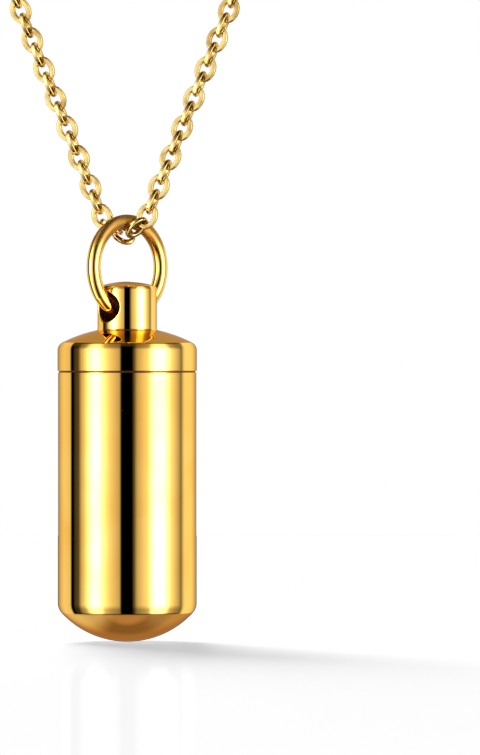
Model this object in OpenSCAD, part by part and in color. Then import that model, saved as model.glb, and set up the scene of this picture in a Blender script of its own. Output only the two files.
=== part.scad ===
// Keepsake urn pendant on a cable chain, as it hangs on a neck.
// The origin is the middle of the arc round the back of the neck. +Z is up, the pendant hangs in front, towards -Y.

/* [Capsule] */
// Outer diameter of the capsule
capsule_d = 14; // [13:0.5:15]
// Height of the seam between the cap and the capsule, above the lowest point
seam_h = 27.4; // [24:0.1:30]
// Radius of the domed base
base_dome_r = 9; // [8.6:0.1:12]
// Radius of the edge that runs from the domed base into the side
base_edge_r = 1.5; // [0.8:0.1:2]
// Wall round the ash chamber
wall = 1.4; // [1.2:0.1:1.8]
// Radius of the bore that takes the cap's spigot
bore_r = 5; // [4.9:0.05:5.1]

/* [Cap] */
// Height of the straight side of the cap above the seam, up to its rounded edge
cap_side_h = 2.05; // [1.5:0.05:3]
// How far the cap's side stands proud of the capsule's
cap_proud = 0.05; // [0:0.05:0.1]
// Radius of the domed shoulder
shoulder_dome_r = 14.5; // [13:0.5:18]
// Radius of the rounded edge between shoulder and side
shoulder_edge_r = 0.9; // [0.6:0.1:1.2]
// Diameter of the knob
knob_d = 6; // [5.6:0.1:6.4]
// Height of the middle of the knob's cross hole above the seam
hole_h = 6.44; // [6.2:0.02:6.8]
// Diameter of the cross hole
hole_d = 3; // [2.9:0.1:3.2]
// Height of the knob's top above the middle of the cross hole
knob_top_h = 2.56; // [2.3:0.02:2.8]
// Turn of the cross hole from the line of sight, with its near mouth to the left
hole_turn = 46; // [40:1:50]
// Length of the threaded spigot
spigot_l = 4.5; // [3.5:0.5:5]

/* [Ring] */
// Outer radius of the jump ring
ring_outer_r = 5.35; // [5.3:0.05:5.45]
// Diameter of its wire
ring_wire_d = 1.4; // [1.3:0.1:1.4]
// Height of the ring's middle above the middle of the cross hole
ring_lift = 4; // [3.95:0.05:4.05]

/* [Chain] */
// Outer length of a link
link_l = 2.65; // [2.65:0.01:2.68]
// Outer width of a link
link_w = 2.1; // [2.05:0.05:2.2]
// Diameter of a link's wire
link_wire_d = 0.47; // [0.45:0.01:0.47]
// Step from one link to the next
link_step = 1.6; // [1.59:0.01:1.6]
// Turn of the links about the chain, from flat on and edge on
link_turn = 17; // [0:1:20]
// Links on each side, from the first straight one up to the clasp
side_links = 152; // [150:1:160]
// Of those, the links that are modelled one by one
modelled_links = 66; // [40:1:118]

/* [Neck loop] */
// Radius of the arc round the back of the neck
neck_r = 50; // [48:1:52]
// Slope of the loop up towards the nape
neck_slope = 25; // [22:1:28]
// Half of the angle of the V that the weight pulls in the chain
v_half = 21.6; // [21:0.1:23]
// Radius of the bend from the side of the neck down into the V
bend_r = 45; // [40:1:48]

/* [Clasp] */
// Mean radius of the spring ring
clasp_r = 2.2; // [2:0.1:2.4]
// Diameter of its wire
clasp_wire_d = 1.1; // [1:0.1:1.2]

/* [Hidden] */
$fn = 40;

gold = [0.86, 0.66, 0.30];
pale_gold = [0.93, 0.80, 0.50];
deep_gold = [0.76, 0.56, 0.24];

// Heights in the pendant, above its lowest point
capsule_r = capsule_d / 2;
cap_r = capsule_r + cap_proud;
seam_half_gap = 0.05;
seam_edge = 0.1;
cap_foot = seam_h + seam_half_gap;
rim = seam_h - seam_half_gap;
edge_top = seam_h + cap_side_h;
hole_z = seam_h + hole_h;
knob_top = hole_z + knob_top_h;
ring_z = hole_z + ring_lift;

// Domes, each by the middle of its circle on the pendant's axis
edge_x = cap_r - shoulder_edge_r;
shoulder_dome_z = edge_top - sqrt(pow(shoulder_dome_r - shoulder_edge_r, 2) - edge_x * edge_x);
knob_r = knob_d / 2;
knob_dome_r = 9;
knob_edge_r = 0.45;
knob_dome_z = knob_top - knob_dome_r;
knob_edge_z = knob_dome_z + sqrt(pow(knob_dome_r - knob_edge_r, 2) - pow(knob_r - knob_edge_r, 2));
knob_foot_r = 0.2;
knob_foot_z = shoulder_dome_z + sqrt(pow(shoulder_dome_r + knob_foot_r, 2) - pow(knob_r + knob_foot_r, 2));
mouth_flare = 0.3;

// Screw thread, as rings of its crest and root
thread_crest_r = bore_r - 0.15;
thread_root_r = thread_crest_r - 0.35;
thread_pitch = 0.75;
thread_turns = floor((spigot_l - 0.9) / thread_pitch);
spigot_end_z = cap_foot - spigot_l;

// Ash chamber and the shoulder inside it, below the bore
chamber_r = capsule_r - wall;
chamber_floor_r = base_dome_r - wall;
chamber_top_z = spigot_end_z - 0.6;
chamber_slope_z = chamber_top_z - (chamber_r - bore_r);
base_edge_x = capsule_r - base_edge_r;
base_edge_z = base_dome_r - sqrt(pow(base_dome_r - base_edge_r, 2) - base_edge_x * base_edge_x);

ring_wire_r = ring_wire_d / 2;
ring_r = ring_outer_r - ring_wire_r;

// A link is two half rounds joined by two short straights
link_wire_r = link_wire_d / 2;
link_bend_r = link_w / 2 - link_wire_r;
link_straight = link_l - link_w;
link_hook = link_l / 2 - link_wire_r;
link_gap = link_l - 2 * link_wire_d - link_step;

// The V starts from a point a little below the ring's middle, and its first links sit up each side of it
v_point_drop = 0.61;
first_link = 6.2;
strand_shift = 0.64;
pendant_x = 0.25;

// Unit vectors of the right half: up the V, up the side of the neck, and across to the nape
v_dir = [sin(v_half), 0, cos(v_half)];
side_dir = [0, cos(neck_slope), sin(neck_slope)];
nape_dir = [-1, 0, 0];
bend_angle = acos(v_dir * side_dir);
bend_axis = cross(v_dir, side_dir) / sin(bend_angle);
bend_cut = bend_r * tan(bend_angle / 2);
nape_axis = cross(side_dir, nape_dir);

// The clasp: a spring ring with a small eye on each side, which the last link of each side hooks
clasp_wire_r = clasp_wire_d / 2;
eye_wire_r = 0.25;
eye_r = 0.8;
eye_x = clasp_r + clasp_wire_r + 0.65;
eye_hook = eye_x + eye_r - eye_wire_r - link_wire_r - link_gap;
clasp_half = eye_hook + link_hook;

// Lengths along the right half, from the point of the V to the middle of the nape
half_l = first_link + (side_links - 1) * link_step + clasp_half;
strand_l = neck_r / sin(v_half) - bend_cut;
bend_l = bend_r * bend_angle * PI / 180;
nape_l = neck_r * PI / 2;
side_l = half_l - strand_l - bend_l - nape_l;

// Corners of the right half, and the point of the V
corner = [neck_r, -(bend_cut + side_l) * cos(neck_slope), -(bend_cut + side_l) * sin(neck_slope)];
v_point = corner - v_dir * neck_r / sin(v_half);
bend_start = corner - v_dir * bend_cut;
side_start = corner + side_dir * bend_cut;
tip = [pendant_x, v_point.y, v_point.z + v_point_drop - ring_z];

// The links under the ring: the middle of each from the ring's middle, and the ways its length and width point
seat_links = [
    [[-1.58, 0.77, 4.12], [0.83, 0.21, -0.52], [-0.19, 0.98, 0.1]],
    [[-0.44, 0.63, 3.35], [0.77, -0.19, -0.6], [0.58, 0.6, 0.55]],
    [[0.98, -0.41, 4.01], [0.73, -0.13, 0.67], [0.48, 0.8, -0.36]]
];

// The tube that stands for the rest of the chain
tube_r = 1;
tube_sides = 8;
tube_step = 5;

// Turns a vector about a unit axis
function turned(v, axis, angle) =
    v * cos(angle) + cross(axis, v) * sin(angle) + axis * (axis * v) * (1 - cos(angle));
function unit(v) = v / norm(v);
function square_to(v, axis) = unit(v - axis * (v * axis));

// Place, direction and side of the chain's right half at a distance s from the point of the V
function on_strand(s) = [v_point + v_dir * s, v_dir, [0, 1, 0]];
function on_bend(s) = let (a = (s - strand_l) / bend_r * 180 / PI, across = cross(bend_axis, v_dir)) [
    bend_start + bend_r * (v_dir * sin(a) + across * (1 - cos(a))),
    turned(v_dir, bend_axis, a),
    turned([0, 1, 0], bend_axis, a)
];
function on_side(s) = [
    side_start + side_dir * (s - strand_l - bend_l),
    side_dir,
    turned([0, 1, 0], bend_axis, bend_angle)
];
function on_nape(s) = let (a = (s - half_l + nape_l) / neck_r * 180 / PI) [
    neck_r * (side_dir * sin(a) - nape_dir * cos(a)),
    turned(side_dir, nape_axis, a),
    turned(turned([0, 1, 0], bend_axis, bend_angle), nape_axis, a)
];
function on_path(s) =
    s < strand_l ? on_strand(s) :
    s < strand_l + bend_l ? on_bend(s) :
    s < half_l - nape_l ? on_side(s) : on_nape(s);

// The strands pass the ring on either side of it, so the left one starts a little back and the right one forward
function drift(s) = s < strand_l ? strand_shift * (1 - s / strand_l) : 0;

// Turn of link i about the chain: flat on and edge on in turn, settling square to the clasp's eye at the nape
last_link = side_links - 1;
nape_frame = on_nape(half_l);
last_turn = atan2(side_dir * nape_frame[2], side_dir * cross(nape_frame[1], nape_frame[2])) - 90 * last_link;
settled_turn = last_turn - 180 * round(last_turn / 180);
function turn_of(i, way) =
    let (t = max(0, (first_link + i * link_step - strand_l) / (half_l - strand_l)))
        way * link_turn * (1 - t) + settled_turn * t + 90 * i;

module link() {
    for (end = [-1, 1]) {
        translate([end * link_straight / 2, 0, 0])
            rotate([0, 0, -90 * end])
                rotate_extrude(angle = 180) translate([link_bend_r, 0]) circle(r = link_wire_r);
        translate([-link_straight / 2, end * link_bend_r, 0])
            rotate([0, 90, 0]) cylinder(r = link_wire_r, h = link_straight);
    }
}

// Puts a child at a place, with its x along one direction and its y along another
module set_at(place, along, wide) {
    x = unit(along);
    y = square_to(wide, x);
    z = cross(x, y);
    multmatrix([[x.x, y.x, z.x, place.x], [x.y, y.y, z.y, place.y], [x.z, y.z, z.z, place.z]]) children();
}

// Link i of the right half, or of the left half before it is mirrored, with its turn and drift the other way
module side_link(i, way) {
    s = first_link + i * link_step;
    f = on_path(s);
    a = turn_of(i, way);
    set_at(f[0] - [0, way * drift(s), 0], f[1], cross(f[1], f[2]) * cos(a) + f[2] * sin(a)) link();
}

module chain_front() {
    color(pale_gold) {
        for (i = [0 : modelled_links - 1]) {
            side_link(i, 1);
            mirror([1, 0, 0]) side_link(i, -1);
        }
        for (row = seat_links)
            translate(tip + [0, 0, ring_z]) set_at(row[0], row[1], row[2]) link();
    }
}

module nape_tube() {
    from = first_link + (modelled_links - 1) * link_step + link_l / 2 + link_gap;
    to = half_l - eye_x - eye_r - eye_wire_r - link_gap;
    count = ceil((to - from) / tube_step);
    rings = [for (k = [0 : count]) on_path(from + (to - from) * k / count)];
    points = [for (f = rings, j = [0 : tube_sides - 1])
        f[0] + tube_r * (f[2] * cos(360 * j / tube_sides) + cross(f[1], f[2]) * sin(360 * j / tube_sides))];
    skin = [for (k = [0 : count - 1], j = [0 : tube_sides - 1])
        let (a = k * tube_sides + j, b = k * tube_sides + (j + 1) % tube_sides)
            [a, b, b + tube_sides, a + tube_sides]];
    start_face = [for (j = [0 : tube_sides - 1]) tube_sides - 1 - j];
    end_face = [for (j = [0 : tube_sides - 1]) count * tube_sides + j];
    polyhedron(points = points, faces = concat([start_face], skin, [end_face]));
}

module chain_nape() {
    color(pale_gold) {
        nape_tube();
        mirror([1, 0, 0]) nape_tube();
    }
}

module clasp() {
    place = on_nape(half_l)[0];
    color(gold)
        set_at(place, [1, 0, 0], cross(side_dir, nape_dir)) {
            rotate_extrude() translate([clasp_r, 0]) circle(r = clasp_wire_r);
            for (end = [-1, 1])
                translate([end * eye_x, 0, 0])
                    rotate_extrude() translate([eye_r, 0]) circle(r = eye_wire_r);
        }
}

module ring() {
    color(gold)
        translate(tip + [0, 0, ring_z])
            rotate([90, 0, 90 - hole_turn])
                rotate_extrude() translate([ring_r, 0]) circle(r = ring_wire_r);
}

module cap_profile() {
    polygon([
        [0, cap_foot], [cap_r - seam_edge, cap_foot], [cap_r, cap_foot + seam_edge],
        [cap_r, edge_top], [0, edge_top]
    ]);
    translate([edge_x, edge_top]) circle(r = shoulder_edge_r);
    intersection() {
        translate([0, shoulder_dome_z]) circle(r = shoulder_dome_r);
        translate([0, edge_top - 1])
            square([edge_x * shoulder_dome_r / (shoulder_dome_r - shoulder_edge_r), shoulder_dome_r]);
    }
    translate([0, edge_top]) square([knob_r, knob_edge_z - edge_top]);
    difference() {
        translate([knob_r - 0.1, edge_top]) square([knob_foot_r + 0.1, knob_foot_z - edge_top]);
        translate([knob_r + knob_foot_r, knob_foot_z]) circle(r = knob_foot_r);
    }
    translate([knob_r - knob_edge_r, knob_edge_z]) circle(r = knob_edge_r);
    intersection() {
        translate([0, knob_dome_z]) circle(r = knob_dome_r);
        translate([0, knob_edge_z - 1])
            square([(knob_r - knob_edge_r) * knob_dome_r / (knob_dome_r - knob_edge_r), knob_dome_r]);
    }
}

module spigot_profile() {
    crest = thread_crest_r;
    root = thread_root_r;
    first = cap_foot - 0.6;
    polygon(concat(
        [[0, edge_top], [root, edge_top]],
        [for (t = [0 : thread_turns - 1], p = [[root, 0], [crest, 0.25], [crest, 0.35], [root, 0.6]])
            [p[0], first - t * thread_pitch - p[1]]],
        [[root, spigot_end_z + 0.3], [root - 0.3, spigot_end_z], [0, spigot_end_z]]
    ));
}

module cap() {
    color(gold)
        translate(tip)
            difference() {
                union() {
                    rotate_extrude() cap_profile();
                    rotate_extrude() spigot_profile();
                }
                translate([0, 0, hole_z]) rotate([90, 0, -hole_turn]) {
                    cylinder(d = hole_d, h = 2 * knob_d, center = true);
                    for (end = [0, 180])
                        rotate([0, end, 0]) translate([0, 0, knob_r - mouth_flare + 0.05])
                            cylinder(r1 = hole_d / 2, r2 = hole_d / 2 + mouth_flare, h = mouth_flare);
                }
            }
}

module capsule_profile() {
    difference() {
        union() {
            polygon([
                [0, base_edge_z], [capsule_r, base_edge_z],
                [capsule_r, rim - seam_edge], [capsule_r - seam_edge, rim], [0, rim]
            ]);
            translate([base_edge_x, base_edge_z]) circle(r = base_edge_r);
            intersection() {
                translate([0, base_dome_r]) circle(r = base_dome_r);
                square([base_edge_x * base_dome_r / (base_dome_r - base_edge_r), base_edge_z + 0.2]);
            }
        }
        chamber_profile();
    }
}

module chamber_profile() {
    polygon([
        [0, base_edge_z], [chamber_r, base_edge_z], [chamber_r, chamber_slope_z], [bore_r, chamber_top_z],
        [bore_r, rim - 0.2], [bore_r + 0.2, rim], [bore_r + 0.2, rim + 1], [0, rim + 1]
    ]);
    intersection() {
        translate([0, base_dome_r]) circle(r = chamber_floor_r);
        square([chamber_r, base_edge_z + 0.2]);
    }
}

module capsule() {
    color(deep_gold) translate(tip) rotate_extrude() capsule_profile();
}

chain_front();
chain_nape();
clasp();
ring();
cap();
capsule();
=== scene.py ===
"""Dresses the frame of a keepsake urn pendant on its cable chain: metalwork, finishes, studio and camera.

Sizes are in millimetres, as a goldsmith gives them, and a finished piece is seated in the scene's metres.
The pendant's place comes from the frame's own boxes. Front is towards -Y, and +Z is up.
"""

import logging
import math
from collections.abc import Callable, Iterator
from contextlib import contextmanager
from dataclasses import dataclass, field, replace
from enum import Enum
from typing import NamedTuple

import bmesh
import bpy
import numpy as np
from mathutils import Matrix, Vector

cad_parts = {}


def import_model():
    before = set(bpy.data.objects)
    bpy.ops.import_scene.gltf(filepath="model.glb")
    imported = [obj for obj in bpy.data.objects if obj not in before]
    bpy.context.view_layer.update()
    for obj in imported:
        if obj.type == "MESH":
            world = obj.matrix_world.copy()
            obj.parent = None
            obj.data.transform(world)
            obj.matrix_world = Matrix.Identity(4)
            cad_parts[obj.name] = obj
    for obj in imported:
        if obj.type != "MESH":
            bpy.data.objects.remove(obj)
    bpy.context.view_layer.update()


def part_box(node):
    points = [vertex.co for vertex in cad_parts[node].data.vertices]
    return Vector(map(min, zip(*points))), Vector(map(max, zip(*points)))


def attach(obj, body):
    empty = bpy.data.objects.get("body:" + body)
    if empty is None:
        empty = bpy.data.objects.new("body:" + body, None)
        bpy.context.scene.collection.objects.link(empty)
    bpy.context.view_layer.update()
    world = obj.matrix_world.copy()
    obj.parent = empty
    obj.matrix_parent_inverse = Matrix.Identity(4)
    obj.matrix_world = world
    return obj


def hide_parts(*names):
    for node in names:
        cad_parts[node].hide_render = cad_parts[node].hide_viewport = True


LOG = logging.getLogger("urn_pendant")
MM = 0.001
# In millimetres: points nearer than WELD are one, and a test for faces reaches MARGIN past their surface
WELD = 1e-5
MARGIN = 0.01
UP = Vector((0, 0, 1))

Point = tuple[float, float]
Span = tuple[float, float]


class Body(Enum):
    """The bodies of the frame that pieces ride on."""

    NECKLACE = "necklace"
    RING = "ring"
    CAP = "cap"
    CAPSULE = "capsule"


class Value:
    """A shader socket that takes part in ordinary arithmetic."""

    def __init__(self, graph: "Graph", socket: bpy.types.NodeSocket) -> None:
        """Wraps one output socket of a graph."""
        self.graph = graph
        self.socket = socket

    def math(self, operation: str, *others: "Value | float") -> "Value":
        """A Math node on this value and others.

        Args:
            operation: the Math node's operation.
            others: the values of its other sockets, in order.

        Returns:
            The node's result.
        """
        inputs = dict(enumerate((self, *others)))
        return self.graph.node("ShaderNodeMath", {"operation": operation}, inputs)

    def __add__(self, other: "Value | float") -> "Value":
        """This plus other."""
        return self.math("ADD", other)

    def __neg__(self) -> "Value":
        """This with the other sign."""
        return self * -1.0

    def __rsub__(self, other: float) -> "Value":
        """Other minus this."""
        return -self + other

    def __mul__(self, other: "Value | float") -> "Value":
        """This times other."""
        return self.math("MULTIPLY", other)

    def __truediv__(self, other: "Value | float") -> "Value":
        """This over other."""
        return self.math("DIVIDE", other)

    def __abs__(self) -> "Value":
        """The size of this value, without its sign."""
        return self.math("ABSOLUTE")

    def step(self, low: float, high: float) -> "Value":
        """Rises smoothly from 0 to 1.

        Args:
            low: the value at which it begins to rise.
            high: the value at which it has risen.

        Returns:
            The share that is reached.
        """
        settings = {"interpolation_type": "SMOOTHSTEP"}
        inputs = {"Value": self, "From Min": low, "From Max": high}
        return self.graph.node("ShaderNodeMapRange", settings, inputs)


class Graph:
    """A node tree that is built node by node."""

    def __init__(self, tree: bpy.types.NodeTree) -> None:
        """Empties a tree and takes it over."""
        self.tree = tree
        tree.nodes.clear()

    def node(self, kind: str, settings: dict | None = None, inputs: dict | None = None,
             output: int | str = 0) -> Value:
        """Adds a node.

        Args:
            kind: the node's type.
            settings: its properties by name; "stops" gives a colour ramp's positions and levels.
            inputs: values or links of its sockets, by name or number.
            output: the output that is returned, by name or number.

        Returns:
            The chosen output.
        """
        new = self.tree.nodes.new(kind)
        for name, value in (settings or {}).items():
            if name == "stops":
                self.set_stops(new.color_ramp, value)
            else:
                setattr(new, name, value)
        for name, value in (inputs or {}).items():
            if isinstance(value, Value):
                self.tree.links.new(value.socket, new.inputs[name])
            else:
                new.inputs[name].default_value = value
        return Value(self, new.outputs[output])

    @staticmethod
    def set_stops(ramp: bpy.types.ColorRamp, stops: list[tuple[float, float]]) -> None:
        """Gives a ramp grey stops.

        Args:
            ramp: a new ramp.
            stops: the position and the level of each stop, from left to right.
        """
        while len(ramp.elements) < len(stops):
            ramp.elements.new(1.0)
        for element, (position, level) in zip(ramp.elements, stops):
            element.position = position
            element.color = (level, level, level, 1.0)

    def mix(self, low: "Value | tuple", high: "Value | tuple", factor: "Value | float") -> Value:
        """A colour between two others.

        Args:
            low: the colour at factor 0.
            high: the colour at factor 1.
            factor: the share of the second colour.

        Returns:
            The mixed colour.
        """
        inputs = {0: factor, 6: low, 7: high}
        return self.node("ShaderNodeMix", {"data_type": "RGBA"}, inputs, output=2)

    def scaled(self, tone: "Value | tuple", factor: Value) -> Value:
        """A colour times a number."""
        return self.node("ShaderNodeVectorMath", {"operation": "SCALE"}, {0: tone, "Scale": factor})

    def noise(self, where: Value, scale: float, detail: float = 2.0) -> Value:
        """Even noise between 0 and 1, at a number of grains to the metre."""
        return self.node("ShaderNodeTexNoise", None, {"Vector": where, "Scale": scale, "Detail": detail})

    def part(self, where: Value, axis: str) -> Value:
        """One coordinate of a place or a direction."""
        return self.node("ShaderNodeSeparateXYZ", None, {0: where}, output=axis)

    def close(self, shader: Value, kind: str = "ShaderNodeOutputMaterial") -> None:
        """Joins the finished shader to the tree's output."""
        output = self.tree.nodes.new(kind)
        self.tree.links.new(shader.socket, output.inputs["Surface"])


@dataclass(frozen=True)
class Fade:
    """A change that sets in smoothly between a low value and a high one, and reaches a share."""

    low: float
    high: float
    share: float

    def of(self, value: Value) -> Value:
        """The change at a value."""
        return value.step(self.low, self.high) * self.share


def colour(red: float, green: float, blue: float) -> tuple[float, float, float, float]:
    """An opaque colour from its linear parts."""
    return (red, green, blue, 1.0)


def grey(level: float) -> tuple[float, float, float, float]:
    """An opaque grey of a linear level."""
    return colour(level, level, level)


WHITE = grey(1.0)


@dataclass(frozen=True)
class GoldFinish:
    """A gold plate with the polish that a maker gives it.

    Grains are counted to the metre. Pitches, depths and heights are in metres.
    """

    name: str
    tone: tuple = colour(1.0, 0.62, 0.15)
    deep_tone: tuple = colour(0.97, 0.54, 0.11)
    edge_tone: tuple = colour(1.0, 0.8, 0.5)
    drift_grain: float = 160.0
    drift_range: Span = (0.35, 0.75)
    roughness: float = 0.028
    haze: float = 0.02
    haze_grain: float = 420.0
    haze_range: Span = (0.45, 0.8)
    grain: float = 9000.0
    grain_depth: float = 4e-8
    lathe_pitch: float = 0.0
    lathe_depth: float = 0.0
    # Painted shade: a darker tone, with more roughness, that sets in between two heights
    crown_shade_tone: tuple = colour(0.5, 0.3, 0.1)
    dull_roughness: float = 0.3
    crown_shade_heights: Span | None = None

    def material(self) -> bpy.types.Material:
        """Builds the finish.

        Returns:
            A material whose tone, roughness and relief vary over the piece.
        """
        made = bpy.data.materials.new(self.name)
        made.use_nodes = True
        graph = Graph(made.node_tree)
        where = graph.node("ShaderNodeTexCoord", output="Object")
        drift = graph.noise(where, self.drift_grain).step(*self.drift_range)
        haze = graph.noise(where, self.haze_grain, detail=4.0).step(*self.haze_range)
        relief = graph.noise(where, self.grain, detail=1.0) * self.grain_depth
        if self.lathe_depth:
            rings = (graph.part(where, "Z") * (2 * math.pi / self.lathe_pitch)).math("SINE")
            relief = relief + rings * self.lathe_depth
        normal = graph.node("ShaderNodeBump", None, {"Strength": 1.0, "Distance": 1.0, "Height": relief})
        tone = graph.mix(self.tone, self.deep_tone, drift)
        roughness = haze * self.haze + self.roughness
        # Painted shade above the given heights: the tone darkens there and the roughness rises
        if self.crown_shade_heights:
            painted_shade_share = graph.part(where, "Z").step(*self.crown_shade_heights)
            tone = graph.mix(tone, self.crown_shade_tone, painted_shade_share)
            roughness = roughness + painted_shade_share * self.dull_roughness
        graph.close(graph.node("ShaderNodeBsdfPrincipled", None, {
            "Base Color": tone,
            "Metallic": 1.0,
            "Specular Tint": self.edge_tone,
            "Roughness": roughness,
            "Normal": normal,
        }))
        return made


MIRROR_GOLD = GoldFinish("mirror_polished_gold")
TURNED_GOLD = GoldFinish(
    "turned_gold", tone=colour(0.92, 0.55, 0.14), deep_tone=colour(0.8, 0.44, 0.1),
    roughness=0.24, haze=0.12, lathe_pitch=0.12 * MM, lathe_depth=2e-6,
)
# Painted shade: a near-black, rough gold that stands in for the shade inside the seam's groove and the cross
# hole
RECESS_SHADE_GOLD = GoldFinish(
    "painted_recess_shade_gold", tone=colour(0.2, 0.07, 0.03), deep_tone=colour(0.12, 0.04, 0.02),
    roughness=0.4, haze=0.15, grain_depth=2e-7,
)
CLASP_GOLD = GoldFinish("drawn_wire_gold", roughness=0.05, haze=0.05, haze_grain=900.0, grain_depth=8e-8)
# The ring's wire, whose crown gets a painted shade: a darker tone above two heights
RING_GOLD = replace(CLASP_GOLD, name="ring_wire_gold", crown_shade_tone=colour(0.4, 0.2, 0.045))
CHAIN_GOLD = GoldFinish(
    "tumbled_chain_gold", tone=colour(0.76, 0.58, 0.22), deep_tone=colour(0.46, 0.28, 0.075),
    drift_grain=650.0, roughness=0.08, haze=0.06, haze_grain=1500.0, grain_depth=1.0e-7,
)


def clear_selection() -> None:
    """Deselects every object, so that an operator acts on new work alone."""
    bpy.ops.object.select_all(action="DESELECT")


def take_up(piece: bpy.types.Object) -> None:
    """Makes a piece the only one that is selected, and the active one.

    Args:
        piece: the object.
    """
    clear_selection()
    piece.select_set(True)
    bpy.context.view_layer.objects.active = piece


@contextmanager
def editing(piece: bpy.types.Object, mode: str = "VERT") -> Iterator[None]:
    """Opens a piece for editing with nothing selected, and closes it again.

    Args:
        piece: the mesh object.
        mode: VERT, EDGE or FACE.
    """
    take_up(piece)
    bpy.ops.object.mode_set(mode="EDIT")
    bpy.ops.mesh.select_mode(type=mode)
    bpy.ops.mesh.select_all(action="DESELECT")
    yield
    bpy.ops.object.mode_set(mode="OBJECT")


def pick_points(piece: bpy.types.Object, test: Callable[[Vector], bool]) -> None:
    """Selects points of a piece.

    Args:
        piece: the mesh object, open for editing.
        test: whether the point at a place is selected.
    """
    shape = bmesh.from_edit_mesh(piece.data)
    for point in shape.verts:
        point.select = test(point.co)
    shape.select_flush(True)
    shape.select_flush(False)
    bmesh.update_edit_mesh(piece.data)


def pick_faces(piece: bpy.types.Object, test: Callable[[Vector], bool]) -> None:
    """Selects faces of a piece.

    Args:
        piece: the mesh object, open for editing.
        test: whether the face with its middle at a place is selected.
    """
    shape = bmesh.from_edit_mesh(piece.data)
    for face in shape.faces:
        face.select_set(test(face.calc_center_median()))
    bmesh.update_edit_mesh(piece.data)


def pick_rims(piece: bpy.types.Object, test: Callable[[Vector], bool]) -> None:
    """Selects edges of a piece that border a gap, and loose ones.

    Args:
        piece: the mesh object, open for editing.
        test: whether such an edge with its middle at a place is selected.
    """
    shape = bmesh.from_edit_mesh(piece.data)
    for edge in shape.edges:
        middle = (edge.verts[0].co + edge.verts[1].co) / 2
        edge.select_set(len(edge.link_faces) < 2 and test(middle))
    bmesh.update_edit_mesh(piece.data)


def assign_finish(piece: bpy.types.Object, index: int, test: Callable[[Vector], bool]) -> None:
    """Gives faces of a piece another of its finishes.

    Args:
        piece: the mesh object.
        index: the number of its material slot.
        test: whether the face with its middle at a place is given that finish.
    """
    for _ in range(index + 1 - len(piece.data.materials)):
        piece.data.materials.append(None)
    with editing(piece, "FACE"):
        pick_faces(piece, test)
        piece.active_material_index = index
        bpy.ops.object.material_slot_assign()


def move_points(piece: bpy.types.Object, moved: Callable[[np.ndarray], np.ndarray]) -> None:
    """Moves the points of a piece.

    Args:
        piece: the mesh object, not open for editing.
        moved: works out the new places from the old, both as rows.
    """
    flat = np.empty(len(piece.data.vertices) * 3)
    piece.data.vertices.foreach_get("co", flat)
    piece.data.vertices.foreach_set("co", moved(flat.reshape(-1, 3)).ravel())
    piece.data.update()


def apply_modifier(piece: bpy.types.Object, kind: str, **settings: object) -> None:
    """Adds a modifier and applies it.

    Args:
        piece: the mesh object.
        kind: the modifier's type.
        settings: its properties by name.
    """
    take_up(piece)
    modifier = piece.modifiers.new(kind.lower(), kind)
    for name, value in settings.items():
        setattr(modifier, name, value)
    bpy.ops.object.modifier_apply(modifier=modifier.name)


def close_and_smooth(piece: bpy.types.Object, sharp: float = 35.0) -> None:
    """Welds a piece, points its faces outwards and smooths them, but not over sharp edges.

    Args:
        piece: the mesh object.
        sharp: the angle in degrees from which an edge stays sharp.
    """
    with editing(piece):
        bpy.ops.mesh.select_all(action="SELECT")
        bpy.ops.mesh.remove_doubles(threshold=WELD)
        bpy.ops.mesh.normals_make_consistent(inside=False)
    bpy.ops.object.shade_smooth_by_angle(angle=math.radians(sharp))
    apply_modifier(piece, "WEIGHTED_NORMAL", keep_sharp=True, weight=100)


def seat(piece: bpy.types.Object, place: Matrix) -> None:
    """Puts a piece that is modelled in millimetres at its place in metres, with the place in its mesh.

    Args:
        piece: the mesh object.
        place: where its own middle goes, in metres.
    """
    take_up(piece)
    piece.matrix_world = place @ Matrix.Scale(MM, 4)
    bpy.ops.object.transform_apply(location=True, rotation=True, scale=True)


def dress(piece: bpy.types.Object, body: Body, slot: str, node: str, *finishes: GoldFinish) -> None:
    """Finishes a piece and ties it to the frame.

    Args:
        piece: the seated piece.
        body: the body that it rides on.
        slot: the record's material slot; not used.
        node: the frame's node that it stands for.
        finishes: its finishes, in the order of its material slots.
    """
    for index, finish in enumerate(finishes):
        made = bpy.data.materials.get(finish.name) or finish.material()
        if index < len(piece.data.materials):
            piece.data.materials[index] = made
        else:
            piece.data.materials.append(made)
    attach(piece, body.value)
    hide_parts(node)
    LOG.info("%s: %d faces on %s", piece.name, len(piece.data.polygons), body.value)


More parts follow.
